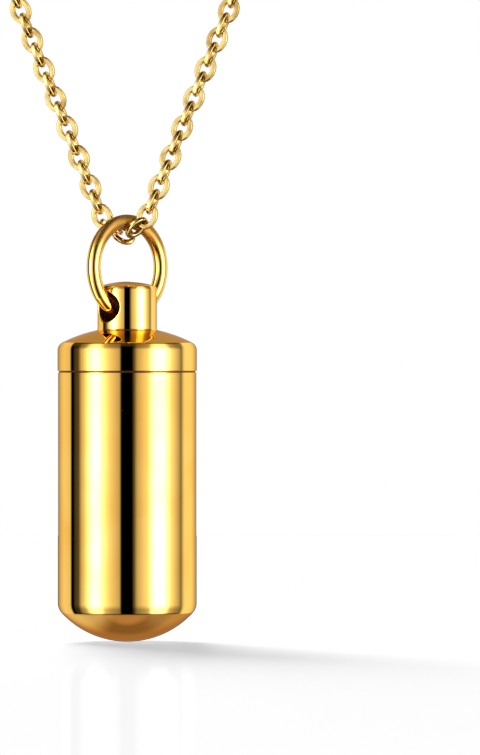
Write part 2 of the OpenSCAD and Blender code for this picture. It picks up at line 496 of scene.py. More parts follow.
class Outline:
    """An outline of radii and heights, drawn on from point to point."""

    def __init__(self, radius: float, height: float) -> None:
        """Starts an outline at a point."""
        self.points: list[Point] = [(radius, height)]

    def line(self, radius: float, height: float, rows: int = 1) -> None:
        """Draws a straight line.

        Args:
            radius: the radius at its end.
            height: the height at its end.
            rows: the equal rows that it takes.
        """
        r, z = self.points[-1]
        for row in range(1, rows + 1):
            share = row / rows
            self.points.append((r + (radius - r) * share, z + (height - z) * share))

    def arc(self, centre: Point, radius: float, start: float, end: float, rows: int) -> None:
        """Draws an arc about a centre.

        Args:
            centre: the radius and height of its centre.
            radius: its own radius.
            start: its first angle in degrees, from outwards, turning up.
            end: its last angle.
            rows: the rows that it takes.
        """
        for row in range(rows + 1):
            angle = math.radians(start + (end - start) * row / rows)
            point = (centre[0] + radius * math.cos(angle), centre[1] + radius * math.sin(angle))
            if math.dist(point, self.points[-1]) > WELD:
                self.points.append(point)

    def corner(self, at: Point, after: Point, radius: float, rows: int = 5) -> None:
        """Draws a line towards a corner and rounds it off.

        Args:
            at: the corner.
            after: a point on the line that leaves it.
            radius: the rounding's radius.
            rows: the rows that it takes.
        """
        here = Vector(at)
        back = (Vector(self.points[-1]) - here).normalized()
        ahead = (Vector(after) - here).normalized()
        half = back.angle(ahead) / 2
        centre = here + (back + ahead).normalized() * radius / math.sin(half)
        start = here + back * radius / math.tan(half) - centre
        end = here + ahead * radius / math.tan(half) - centre
        first = math.degrees(math.atan2(start.y, start.x))
        sweep = (math.degrees(math.atan2(end.y, end.x)) - first + 180) % 360 - 180
        self.arc(tuple(centre), radius, first, first + sweep, rows)

    def spun(self, name: str, steps: int) -> bpy.types.Object:
        """Spins the outline about the Z axis.

        Args:
            name: the new piece's name.
            steps: the number of steps round.

        Returns:
            The new piece, in millimetres.
        """
        clear_selection()
        bpy.ops.mesh.primitive_circle_add(vertices=3, radius=1.0)
        piece = bpy.context.object
        piece.name = name
        with editing(piece):
            bpy.ops.mesh.select_all(action="SELECT")
            bpy.ops.mesh.merge(type="CENTER")
            r, z = self.points[0]
            bpy.ops.transform.translate(value=(r, 0, z))
            for (r, z), (next_r, next_z) in zip(self.points, self.points[1:]):
                move = {"value": (next_r - r, 0, next_z - z)}
                bpy.ops.mesh.extrude_vertices_move(TRANSFORM_OT_translate=move)
            bpy.ops.mesh.select_all(action="SELECT")
            bpy.ops.mesh.spin(steps=steps, angle=2 * math.pi, center=(0, 0, 0), axis=(0, 0, 1))
        return piece


def around(centre: Point, radius: float, r: float) -> float:
    """Angle in degrees at which a circle about a centre reaches radius r from the axis, on its upper side."""
    return math.degrees(math.acos((r - centre[0]) / radius))


@dataclass(frozen=True)
class Thread:
    """A screw thread on a spun wall, raised from its root or sunk into it.

    Half of its crest's flat, and its flank, are shares of the pitch.
    """

    root_r: float
    crest_r: float
    top: float
    bottom: float
    pitch: float = 0.75
    half_flat: float = 0.14
    flank: float = 0.28

    def cut(self, piece: bpy.types.Object) -> None:
        """Moves the points of the wall to the thread's helix, which runs out at both ends.

        Args:
            piece: the spun piece, in millimetres.
        """
        def helix(points: np.ndarray) -> np.ndarray:
            """The wall's points on the helix, and the others where they are."""
            radius = np.hypot(points[:, 0], points[:, 1])
            height = points[:, 2]
            turn = np.arctan2(points[:, 1], points[:, 0]) / (2 * math.pi)
            phase = np.abs((height / self.pitch - turn) % 1.0 - 0.5)
            ridge = np.clip((phase - self.half_flat) / -self.flank + 1, 0, 1)
            fade = np.clip(np.minimum(self.top - height, height - self.bottom) / (self.pitch / 2), 0, 1)
            on_wall = np.abs(radius - self.root_r) < WELD * 10
            scale = 1 + (self.crest_r / self.root_r - 1) * ridge * fade * on_wall
            return points * np.column_stack((scale, scale, np.ones_like(scale)))

        move_points(piece, helix)


@dataclass(frozen=True)
class Pendant:
    """Sizes that the pendant's parts share. Heights are above the capsule's tip."""

    side_r: float = 7.0
    seam: float = 27.3
    seam_half_gap: float = 0.08
    seam_edge: float = 0.05
    seam_depth: float = 0.15
    seat_gap: float = 0.005
    bore_r: float = 5.0
    spigot_l: float = 4.5
    hole_z: float = 33.84
    ring_z: float = 37.84
    hole_turn: float = 46.0
    spin_steps: int = 192

    @property
    def cap_foot(self) -> float:
        """Height of the cap's lower face."""
        return self.seam + self.seam_half_gap

    @property
    def rim(self) -> float:
        """Height of the capsule's upper face."""
        return self.seam - self.seam_half_gap

    @property
    def spigot_end(self) -> float:
        """Height of the spigot's lower end."""
        return self.cap_foot - self.spigot_l

    @property
    def seat_z(self) -> float:
        """Height of the cap's seat, which closes the seam's groove."""
        return self.rim + self.seat_gap


@dataclass(frozen=True)
class Capsule:
    """The hollow lower part, with its domed base, ash chamber and threaded bore.

    The side has its rows up to side_end under the rim. The chamber begins chamber_drop under the spigot's
    end. The bore has fine rows from fine_start under the rim to fine_stop above the chamber, and the thread
    in it runs from thread_start under the rim to thread_past below the spigot's end.
    """

    pendant: Pendant = field(default_factory=Pendant)
    base_dome_r: float = 9.0
    base_edge_r: float = 1.5
    wall: float = 1.4
    chamber_drop: float = 0.6
    side_end: float = 0.4
    side_rows: int = 24
    bore_edge_r: float = 0.2
    fine_start: float = 0.3
    fine_stop: float = 0.2
    thread_rows: int = 84
    thread_depth: float = 0.14
    thread_start: float = 0.35
    thread_past: float = 0.4

    def outline(self) -> Outline:
        """Draws from the tip up the outside, over the rim and down the chamber to its floor.

        Returns:
            The outline, which begins and ends on the axis.
        """
        p = self.pendant
        dome = (0.0, self.base_dome_r)
        edge_x = p.side_r - self.base_edge_r
        edge_z = self.base_dome_r - math.sqrt((self.base_dome_r - self.base_edge_r) ** 2 - edge_x ** 2)
        lean = math.degrees(math.atan2(edge_z - self.base_dome_r, edge_x))
        inner_r = p.side_r - self.wall
        chamber_top = p.spigot_end - self.chamber_drop
        slope_foot = chamber_top - (inner_r - p.bore_r)
        floor_r = self.base_dome_r - self.wall
        floor_lean = math.degrees(-math.acos(inner_r / floor_r))
        floor_edge = self.base_dome_r + floor_r * math.sin(math.radians(floor_lean))
        draw = Outline(0, 0)
        draw.arc(dome, self.base_dome_r, -90, lean, rows=48)
        draw.arc((edge_x, edge_z), self.base_edge_r, lean, 0, rows=20)
        draw.line(p.side_r, p.rim - self.side_end, self.side_rows)
        draw.corner((p.side_r, p.rim), (0, p.rim), p.seam_edge)
        draw.corner((p.bore_r, p.rim), (p.bore_r, 0), self.bore_edge_r)
        draw.line(p.bore_r, p.rim - self.fine_start)
        draw.line(p.bore_r, chamber_top + self.fine_stop, self.thread_rows)
        draw.line(p.bore_r, chamber_top)
        draw.line(inner_r, slope_foot)
        draw.line(inner_r, floor_edge, rows=8)
        draw.arc(dome, floor_r, floor_lean, -90, rows=24)
        return draw

    def build(self, place: Matrix) -> bpy.types.Object:
        """Makes the capsule.

        Args:
            place: the tip's place in the frame.

        Returns:
            The finished piece.
        """
        p = self.pendant
        piece = self.outline().spun("capsule_shell", p.spin_steps)
        close_and_smooth(piece)
        self.mark_inside(piece)
        top, bottom = p.rim - self.thread_start, p.spigot_end - self.thread_past
        Thread(p.bore_r, p.bore_r + self.thread_depth, top, bottom).cut(piece)
        close_and_smooth(piece)
        seat(piece, place)
        dress(piece, Body.CAPSULE, "capsule_gold", "capsule", MIRROR_GOLD, TURNED_GOLD)
        return piece

    def mark_inside(self, piece: bpy.types.Object) -> None:
        """Gives the bore and the chamber the second finish.

        Args:
            piece: the shell, before the thread is cut.
        """
        chamber_r = self.pendant.side_r - self.wall
        within_wall = self.base_dome_r - self.wall / 2

        def is_inside(middle: Vector) -> bool:
            """Whether a face belongs to the bore or the chamber."""
            above_base = middle.z > self.base_dome_r or math.hypot(
                middle.x, middle.y, middle.z - self.base_dome_r) < within_wall
            under_rim = middle.z < self.pendant.rim - MARGIN
            return above_base and under_rim and math.hypot(middle.x, middle.y) < chamber_r + MARGIN

        assign_finish(piece, 1, is_inside)


@dataclass(frozen=True)
class Cap:
    """The screw cap: a domed shoulder, a pierced knob above it and a threaded spigot below.

    The spigot has fine rows up to spigot_neck under the seat. The thread on it runs from thread_start under
    the cap's foot to thread_short above the spigot's end.
    """

    pendant: Pendant = field(default_factory=Pendant)
    side_r: float = 7.05
    side_h: float = 2.15
    shoulder_dome_r: float = 14.5
    shoulder_edge_r: float = 0.9
    knob_r: float = 3.0
    knob_top: float = 36.4
    knob_dome_r: float = 9.0
    knob_edge_r: float = 0.45
    knob_foot_r: float = 0.2
    hole_r: float = 1.5
    mouth_round: float = 0.13
    mouth_rows: int = 5
    # All of the knob's wall round a mouth lies further out than this
    patch_from: float = 2.1
    patch_steps: int = 40
    patch_rows: int = 5
    tunnel_rows: int = 16
    spigot_chamfer: float = 0.3
    spigot_neck: float = 0.25
    spigot_fillet_r: float = 0.1
    thread_crest_r: float = 4.85
    thread_root_r: float = 4.5
    thread_rows: int = 84
    thread_start: float = 0.35
    thread_short: float = 0.32

    @property
    def knob_edge_z(self) -> float:
        """Height at which the knob's straight side runs into its rounded edge."""
        reach = self.knob_dome_r - self.knob_edge_r
        edge_x = self.knob_r - self.knob_edge_r
        return self.knob_top - self.knob_dome_r + math.sqrt(reach ** 2 - edge_x ** 2)

    @property
    def patch_half_h(self) -> float:
        """Half of the height of the square that gives way to a mouth of the hole."""
        return self.knob_edge_z - self.pendant.hole_z

    @property
    def patch_half_turn(self) -> float:
        """Half of the angle of that square, in radians."""
        return math.pi * self.patch_steps / self.pendant.spin_steps

    def outline(self) -> Outline:
        """Draws from the spigot's end up its side, out and round the shoulder, and over the knob.

        Returns:
            The outline, which begins and ends on the axis.
        """
        p = self.pendant
        edge_top = p.seam + self.side_h
        edge_x = self.side_r - self.shoulder_edge_r
        dome_reach = self.shoulder_dome_r - self.shoulder_edge_r
        dome = (0.0, edge_top - math.sqrt(dome_reach ** 2 - edge_x ** 2))
        foot_x = self.knob_r + self.knob_foot_r
        foot_reach = self.shoulder_dome_r + self.knob_foot_r
        foot_z = dome[1] + math.sqrt(foot_reach ** 2 - foot_x ** 2)
        knob_dome = (0.0, self.knob_top - self.knob_dome_r)
        edge = (self.knob_r - self.knob_edge_r, self.knob_edge_z)
        rise = around(dome, dome_reach, edge_x)
        foot_rise = around(dome, foot_reach, foot_x)
        knob_rise = around(knob_dome, self.knob_dome_r - self.knob_edge_r, edge[0])
        root_r = self.thread_root_r
        groove_r = self.side_r - p.seam_depth
        draw = Outline(0, p.spigot_end)
        draw.line(root_r - self.spigot_chamfer, p.spigot_end, rows=4)
        draw.line(root_r, p.spigot_end + self.spigot_chamfer)
        draw.line(root_r, p.seat_z - self.spigot_neck, self.thread_rows)
        draw.corner((root_r, p.seat_z), (self.side_r, p.seat_z), self.spigot_fillet_r)
        draw.line(groove_r, p.seat_z)
        draw.line(groove_r, p.cap_foot)
        draw.corner((self.side_r, p.cap_foot), (self.side_r, edge_top), p.seam_edge)
        draw.line(self.side_r, edge_top, rows=4)
        draw.arc((edge_x, edge_top), self.shoulder_edge_r, 0, rise, rows=14)
        draw.arc(dome, self.shoulder_dome_r, rise, foot_rise, rows=22)
        draw.arc((foot_x, foot_z), self.knob_foot_r, foot_rise - 180, -180, rows=6)
        draw.line(self.knob_r, p.hole_z - self.patch_half_h, rows=2)
        draw.line(self.knob_r, self.knob_edge_z, self.patch_steps)
        draw.arc(edge, self.knob_edge_r, 0, knob_rise, rows=9)
        draw.arc(knob_dome, self.knob_dome_r, knob_rise, 90, rows=18)
        return draw

    def build(self, place: Matrix) -> bpy.types.Object:
        """Makes the cap.

        Args:
            place: the tip's place in the frame.

        Returns:
            The finished piece.
        """
        p = self.pendant
        piece = self.outline().spun("urn_cap", p.spin_steps)
        close_and_smooth(piece)
        for side in (1, -1):
            self.open_mouth(piece, side)
        with editing(piece, "EDGE"):
            pick_rims(piece, lambda middle: True)
            bpy.ops.mesh.bridge_edge_loops(number_cuts=self.tunnel_rows, interpolation="LINEAR")
        top, bottom = p.cap_foot - self.thread_start, p.spigot_end + self.thread_short
        Thread(self.thread_root_r, self.thread_crest_r, top, bottom).cut(piece)
        close_and_smooth(piece, sharp=50.0)
        self.mark_hidden(piece)
        mouth_turn = Matrix.Rotation(math.radians(-90 - p.hole_turn), 4, "Z")
        seat(piece, place @ mouth_turn)
        dress(piece, Body.CAP, "cap_gold", "cap", MIRROR_GOLD, TURNED_GOLD, RECESS_SHADE_GOLD)
        return piece

    def mark_hidden(self, piece: bpy.types.Object) -> None:
        """Gives the spigot the second finish, and the seam's groove and the cross hole the third, which is
        painted shade.

        Args:
            piece: the cap in its final shape, in millimetres.
        """
        p = self.pendant
        foot = p.cap_foot + MARGIN

        def on_spigot(middle: Vector) -> bool:
            """Whether a face belongs to the spigot or to the seat within the groove."""
            reach = math.hypot(middle.x, middle.y)
            return middle.z < foot and reach < self.side_r - p.seam_depth - MARGIN

        def in_groove(middle: Vector) -> bool:
            """Whether a face belongs to the seam's groove."""
            depth = self.side_r - math.hypot(middle.x, middle.y) - p.seam_edge
            return middle.z < foot and 0 < depth < p.seam_depth

        def in_hole(middle: Vector) -> bool:
            """Whether a face belongs to the cross hole's wall."""
            off_axis = math.hypot(middle.y, middle.z - p.hole_z)
            return abs(middle.x) < self.knob_r and off_axis < self.hole_r + MARGIN

        assign_finish(piece, 1, on_spigot)
        # Painted shade in the seam's groove and inside the cross hole
        assign_finish(piece, 2, in_groove)
        assign_finish(piece, 2, in_hole)

    def open_mouth(self, piece: bpy.types.Object, side: int) -> None:
        """Opens one mouth of the cross hole in the knob's side.

        A square of faces gives way to a round mouth on the knob's surface, whose edge is rounded inwards.

        Args:
            piece: the cap, with its knob whole on this side.
            side: 1 for the mouth towards +X, and -1 for the other.
        """
        hole_z = self.pendant.hole_z
        mouth_r = self.hole_r + self.mouth_round

        def in_patch(middle: Vector) -> bool:
            """Whether a face belongs to the square that gives way."""
            return (side * middle.x > self.patch_from
                    and abs(math.atan2(middle.y, side * middle.x)) < self.patch_half_turn + WELD
                    and abs(middle.z - hole_z) < self.patch_half_h + WELD)

        with editing(piece, "FACE"):
            pick_faces(piece, in_patch)
            bpy.ops.mesh.delete(type="FACE")
        with editing(piece, "EDGE"):
            bpy.ops.mesh.primitive_circle_add(
                vertices=4 * self.patch_steps, radius=mouth_r, location=(side * self.knob_r, 0, hole_z),
                rotation=(0, math.pi / 2, 0))
            pick_rims(piece, lambda middle: side * middle.x > 0)
            bpy.ops.mesh.bridge_edge_loops(number_cuts=self.patch_rows, interpolation="LINEAR")

        def to_surface(points: np.ndarray) -> np.ndarray:
            """The points round the mouth on the knob's wall, and the others where they are."""
            x, y, z = points.T
            near = (side * x > self.patch_from) & (np.abs(z - hole_z) < self.patch_half_h - WELD)
            out = points.copy()
            out[near, 0] = side * np.sqrt(self.knob_r ** 2 - y[near] ** 2)
            return out

        move_points(piece, to_surface)
        with editing(piece, "EDGE"):
            pick_rims(piece, lambda middle: side * middle.x > 0)
            radius, sunk = mouth_r, 0.0
            for row in range(1, self.mouth_rows + 1):
                angle = math.pi / 2 * row / self.mouth_rows
                next_radius = mouth_r - self.mouth_round * math.sin(angle)
                next_sunk = self.mouth_round * (1 - math.cos(angle))
                move = {"value": (side * (sunk - next_sunk), 0, 0)}
                bpy.ops.mesh.extrude_edges_move(TRANSFORM_OT_translate=move)
                narrow = next_radius / radius
                bpy.ops.transform.resize(value=(1, narrow, narrow), center_override=(0, 0, hole_z))
                radius, sunk = next_radius, next_sunk


@dataclass(frozen=True)
class JumpRing:
    """The round wire ring that joins the pendant to the chain, closed by a butt joint.

    Its crown carries painted shade: a darker, rougher gold that sets in between two heights above the ring's
    middle.
    """

    pendant: Pendant = field(default_factory=Pendant)
    middle_r: float = 4.65
    wire_r: float = 0.7
    ring_steps: int = 192
    wire_steps: int = 32
    joint_turn: float = -90.0
    joint_depth: float = 0.04
    crown: Span = (1.2, 3.0)

    def build(self, place: Matrix) -> bpy.types.Object:
        """Makes the ring.

        Args:
            place: the tip's place in the frame.

        Returns:
            The finished piece.
        """
        clear_selection()
        bpy.ops.mesh.primitive_torus_add(
            major_radius=self.middle_r, minor_radius=self.wire_r,
            major_segments=self.ring_steps, minor_segments=self.wire_steps)
        piece = bpy.context.object
        piece.name = "jump_ring"
        joint = math.radians(self.joint_turn)
        half_step = math.pi / self.ring_steps
        with editing(piece):
            pick_points(piece, lambda co: abs(math.atan2(co.y, co.x) - joint) < half_step)
            bpy.ops.transform.shrink_fatten(value=-self.joint_depth)
        close_and_smooth(piece, sharp=60.0)
        turned = Matrix.Rotation(math.radians(90 - self.pendant.hole_turn), 4, "Z")
        upright = turned @ Matrix.Rotation(math.pi / 2, 4, "X")
        seated = place @ Matrix.Translation((0, 0, self.pendant.ring_z * MM))
        seat(piece, seated @ upright)
        # Painted shade on the ring's crown, above these heights
        crown = tuple(seated.translation.z + rise * MM for rise in self.crown)
        dress(piece, Body.RING, "ring_gold", "ring", replace(RING_GOLD, crown_shade_heights=crown))
        return piece


@dataclass(frozen=True)
class Route:
    """The way of the chain: up the V, round a bend, up the side of the neck and round the nape."""

    neck_r: float = 50.0
    neck_slope: float = 25.0
    v_half: float = 21.6
    bend_r: float = 45.0
    first_link: float = 6.2
    link_step: float = 1.6
    side_links: int = 152
    clasp_half: float = 4.695
    strand_shift: float = 0.64
    link_turn: float = 17.0

    @property
    def v_dir(self) -> Vector:
        """Direction up the right strand of the V."""
        angle = math.radians(self.v_half)
        return Vector((math.sin(angle), 0, math.cos(angle)))

    @property
    def side_dir(self) -> Vector:
        """Direction up the side of the neck."""
        angle = math.radians(self.neck_slope)
        return Vector((0, math.cos(angle), math.sin(angle)))

    @property
    def bend_angle(self) -> float:
        """Angle of the bend, in radians."""
        return self.v_dir.angle(self.side_dir)

    @property
    def bend_axis(self) -> Vector:
        """Axis that the bend turns about."""
        return self.v_dir.cross(self.side_dir).normalized()

    @property
    def half_l(self) -> float:
        """Length of the right half, from the V's point to the middle of the nape."""
        return self.first_link + (self.side_links - 1) * self.link_step + self.clasp_half

    @property
    def bend_cut(self) -> float:
        """Length that the bend takes from each straight."""
        return self.bend_r * math.tan(self.bend_angle / 2)

    @property
    def strand_l(self) -> float:
        """Length of the straight strand of the V."""
        return self.neck_r / math.sin(math.radians(self.v_half)) - self.bend_cut

    @property
    def nape_l(self) -> float:
        """Length of a quarter turn round the nape."""
        return self.neck_r * math.pi / 2

    @property
    def bend_l(self) -> float:
        """Length of the bend."""
        return self.bend_r * self.bend_angle

    @property
    def corner(self) -> Vector:
        """Point where the V's strand and the side of the neck would meet."""
        side_l = self.half_l - self.strand_l - self.bend_l - self.nape_l
        return Vector((self.neck_r, 0, 0)) - self.side_dir * (self.bend_cut + side_l)

    @property
    def v_point(self) -> Vector:
        """The lowest point of the V."""
        return self.corner - self.v_dir * self.neck_r / math.sin(math.radians(self.v_half))

    def at(self, s: float) -> tuple[Vector, Vector, Vector]:
        """Finds a place on the right half.

        Args:
            s: the distance along the chain from the V's point.

        Returns:
            The place, the direction there and the side vector that is carried along.
        """
        across = Vector((0, 1, 0))
        if s < self.strand_l:
            return self.v_point + self.v_dir * s, self.v_dir, across
        axis = self.bend_axis
        if s < self.strand_l + self.bend_l:
            angle = (s - self.strand_l) / self.bend_r
            inward = axis.cross(self.v_dir)
            start = self.corner - self.v_dir * self.bend_cut
            place = start + self.bend_r * (self.v_dir * math.sin(angle) + inward * (1 - math.cos(angle)))
            turn = Matrix.Rotation(angle, 3, axis)
            return place, turn @ self.v_dir, turn @ across
        across = Matrix.Rotation(self.bend_angle, 3, axis) @ across
        if s < self.half_l - self.nape_l:
            start = self.corner + self.side_dir * self.bend_cut
            return start + self.side_dir * (s - self.strand_l - self.bend_l), self.side_dir, across
        angle = (s - self.half_l + self.nape_l) / self.neck_r
        outward = Vector((1, 0, 0))
        turn = Matrix.Rotation(angle, 3, self.side_dir.cross(-outward))
        place = self.neck_r * (self.side_dir * math.sin(angle) + outward * math.cos(angle))
        return place, turn @ self.side_dir, turn @ across

    @property
    def settled_turn(self) -> float:
        """Turn of the links at the nape, which brings the last one square to the clasp's eye."""
        _, along, across = self.at(self.half_l)
        last = math.degrees(math.atan2(self.side_dir.dot(across), self.side_dir.dot(along.cross(across))))
        last -= 90 * (self.side_links - 1)
        return last - 180 * math.floor(last / 180 + 0.5)

    def link(self, i: int, way: int) -> Matrix:
        """Finds the place of a link.

        Args:
            i: its number, up from the V's point.
            way: 1 on the right, and -1 on the left.

        Returns:
            Its place, with its length along X and its width along Y.
        """
        s = self.first_link + i * self.link_step
        place, along, across = self.at(s)
        share = max(0.0, (s - self.strand_l) / (self.half_l - self.strand_l))
        turn = math.radians(way * self.link_turn * (1 - share) + self.settled_turn * share + 90 * i)
        wide = along.cross(across) * math.cos(turn) + across * math.sin(turn)
        drift = self.strand_shift * (1 - s / self.strand_l) if s < self.strand_l else 0.0
        return set_at(place - Vector((0, way * drift, 0)), along, wide, mirrored=way < 0)


def set_at(place: Vector, along: Vector, wide: Vector, mirrored: bool = False) -> Matrix:
    """Works out a place from directions.

    Args:
        place: where the piece's middle goes.
        along: the way its X axis points.
        wide: the way its Y axis points, roughly.
        mirrored: whether the place is then mirrored to the left.

    Returns:
        The place as a matrix, in the units of place.
    """
    flip = Vector((-1, 1, 1)) if mirrored else Vector((1, 1, 1))
    x = (along * flip).normalized()
    y = wide * flip
    y = (y - x * y.dot(x)).normalized()
    turn = Matrix((x, y, x.cross(y))).transposed().to_4x4()
    return Matrix.Translation(place * flip) @ turn


@dataclass(frozen=True)
class LinkShape:
    """One link of the cable chain: a wire with four rounded flats, bent to an oval."""

    length: float = 2.76
    width: float = 2.2
    wire_w: float = 0.56
    wire_h: float = 0.5
    roundness: float = 0.75
    bend_steps: int = 18
    wire_steps: int = 8

    def arrays(self) -> tuple[np.ndarray, np.ndarray]:
        """Models the link.

        Returns:
            Its points, and its faces as rows of four point numbers.
        """
        clear_selection()
        bend_r = (self.width - self.wire_w) / 2
        bpy.ops.mesh.primitive_torus_add(
            major_radius=bend_r, minor_radius=self.wire_w / 2,
            major_segments=self.bend_steps, minor_segments=self.wire_steps)
        link = bpy.context.object

        def flattened(points: np.ndarray) -> np.ndarray:
            """The round wire's points on the flattened one, drawn out to the oval."""
            x, y, z = points.T
            turn = np.arctan2(y, x)
            around_wire = np.arctan2(z, np.hypot(x, y) - bend_r) + math.pi / self.wire_steps
            wide, high = (np.sign(part) * np.abs(part) ** self.roundness
                          for part in (np.cos(around_wire), np.sin(around_wire)))
            radius = bend_r + wide * self.wire_w / 2
            stretch = (self.length - self.width) / 2
            return np.column_stack((
                (radius + stretch) * np.cos(turn), radius * np.sin(turn), high * self.wire_h / 2))

        move_points(link, flattened)
        points = np.array([tuple(v.co) for v in link.data.vertices])
        faces = np.array([tuple(f.vertices) for f in link.data.polygons])
        bpy.data.objects.remove(link, do_unlink=True)
        return points, faces


class SeatLink(NamedTuple):
    """A link in the jump ring: its middle from the ring's own, and the ways of its length and its width."""

    middle: tuple
    along: tuple
    wide: tuple


@dataclass(frozen=True)
class Chain:
    """The cable chain: links up the front, in the jump ring, and round the neck."""

    pendant: Pendant = field(default_factory=Pendant)
    route: Route = field(default_factory=Route)
    front_links: int = 66
    front_shape: LinkShape = field(default_factory=LinkShape)
    nape_shape: LinkShape = field(default_factory=lambda: LinkShape(bend_steps=10))
    seat_links: tuple[SeatLink, ...] = (
        SeatLink(middle=(-1.58, 0.77, 4.12), along=(0.83, 0.21, -0.52), wide=(-0.19, 0.98, 0.1)),
        SeatLink(middle=(-0.44, 0.63, 3.35), along=(0.77, -0.19, -0.6), wide=(0.58, 0.6, 0.55)),
        SeatLink(middle=(0.98, -0.41, 4.01), along=(0.73, -0.13, 0.67), wide=(0.48, 0.8, -0.36)),
    )

    def joined(self, name: str, shape: LinkShape, places: list[Matrix]) -> bpy.types.Object:
        """Makes one mesh of a link at many places.

        Args:
            name: the new piece's name.
            shape: the link.
            places: where it goes, in millimetres.

        Returns:
            The new piece.
        """
        points, faces = shape.arrays()
        turns = np.array([m.to_3x3() for m in places])
        moves = np.array([m.translation for m in places])
        all_points = np.einsum("nij,pj->npi", turns, points) + moves[:, None, :]
        all_faces = faces[None] + (np.arange(len(places)) * len(points))[:, None, None]
        mesh = bpy.data.meshes.new(name)
        mesh.from_pydata(all_points.reshape(-1, 3).tolist(), [], all_faces.reshape(-1, 4).tolist())
        piece = bpy.data.objects.new(name, mesh)
        bpy.context.scene.collection.objects.link(piece)
        close_and_smooth(piece, sharp=70.0)
        return piece

    def build(self, place: Matrix) -> list[bpy.types.Object]:
        """Makes the whole chain.

        Args:
            place: the tip's place in the frame.

        Returns:
            The front links and those round the neck.
        """
        route = self.route
        ring_middle = place.translation / MM + UP * self.pendant.ring_z
        front = [route.link(i, way) for way in (1, -1) for i in range(self.front_links)]
        front += [set_at(ring_middle + Vector(seated.middle), Vector(seated.along), Vector(seated.wide))
                  for seated in self.seat_links]
        nape = [route.link(i, way) for way in (1, -1) for i in range(self.front_links, route.side_links)]
        pieces = []
        for name, shape, places, node in (
            ("front_links", self.front_shape, front, "chain_front"),
            ("nape_links", self.nape_shape, nape, "chain_nape"),
        ):
            piece = self.joined(name, shape, places)
            seat(piece, Matrix.Identity(4))
            dress(piece, Body.NECKLACE, "chain_gold", node, CHAIN_GOLD)
            pieces.append(piece)
        return pieces


@dataclass(frozen=True)
class Clasp:
    """The spring ring at the nape: a tube ring with a sliding gate, a thumb stud and an eye on each side.

    Turns on the ring are in degrees, and the eye's own turn is in radians. The stud stands on the part of the
    wire that lies further out than stud_foot, a share of the wire's radius.
    """

    route: Route = field(default_factory=Route)
    middle_r: float = 2.2
    wire_r: float = 0.55
    ring_steps: int = 120
    wire_steps: int = 24
    eye_middle_r: float = 0.8
    eye_wire_r: float = 0.25
    eye_x: float = 3.4
    eye_turn: float = 0.03
    eye_ring_steps: int = 48
    eye_wire_steps: int = 14
    gate: Span = (35.0, 120.0)
    gate_sunk: float = 0.07
    stud_turn: float = 128.0
    stud_half_turn: float = 7.0
    stud_foot: float = 0.75
    stud_rise: float = 0.45

    def build(self) -> bpy.types.Object:
        """Makes the clasp and seats it at the middle of the nape.

        Returns:
            The finished piece.
        """
        clear_selection()
        bpy.ops.mesh.primitive_torus_add(
            major_radius=self.middle_r, minor_radius=self.wire_r,
            major_segments=self.ring_steps, minor_segments=self.wire_steps)
        piece = bpy.context.object
        piece.name = "spring_clasp"
        start, end = self.gate
        with editing(piece):
            pick_points(piece, lambda co: start < math.degrees(math.atan2(co.y, co.x)) < end)
            bpy.ops.transform.shrink_fatten(value=-self.gate_sunk)
        with editing(piece, "FACE"):
            pick_faces(piece, self.under_stud)
            bpy.ops.mesh.extrude_region_shrink_fatten(
                TRANSFORM_OT_shrink_fatten={"value": self.stud_rise})
        for way in (-1, 1):
            self.add_eye(piece, way)
        close_and_smooth(piece, sharp=40.0)
        place, _, _ = self.route.at(self.route.half_l)
        side = self.route.side_dir
        turn = set_at(place * MM, Vector((1, 0, 0)), side.cross(Vector((-1, 0, 0))))
        seat(piece, turn)
        dress(piece, Body.NECKLACE, "clasp_gold", "clasp", CLASP_GOLD)
        return piece

    def under_stud(self, middle: Vector) -> bool:
        """Finds the faces that the thumb stud stands on.

        Args:
            middle: the middle of one of the ring's faces.

        Returns:
            Whether the face lies under the stud.
        """
        turn = math.degrees(math.atan2(middle.y, middle.x))
        outward = math.hypot(middle.x, middle.y) - self.middle_r
        return abs(turn - self.stud_turn) < self.stud_half_turn and outward > self.stud_foot * self.wire_r

    def add_eye(self, piece: bpy.types.Object, way: int) -> None:
        """Solders an eye to one side of the ring, turned a touch from the ring's own facets.

        Args:
            piece: the ring, in millimetres.
            way: 1 for the side towards +X, and -1 for the other.
        """
        clear_selection()
        bpy.ops.mesh.primitive_torus_add(
            major_radius=self.eye_middle_r, minor_radius=self.eye_wire_r,
            major_segments=self.eye_ring_steps, minor_segments=self.eye_wire_steps,
            location=(way * self.eye_x, 0, 0), rotation=(0, 0, self.eye_turn))
        eye = bpy.context.object
        bpy.ops.object.transform_apply(location=True, rotation=True)
        apply_modifier(piece, "BOOLEAN", operation="UNION", solver="EXACT", object=eye)
        bpy.data.objects.remove(eye, do_unlink=True)


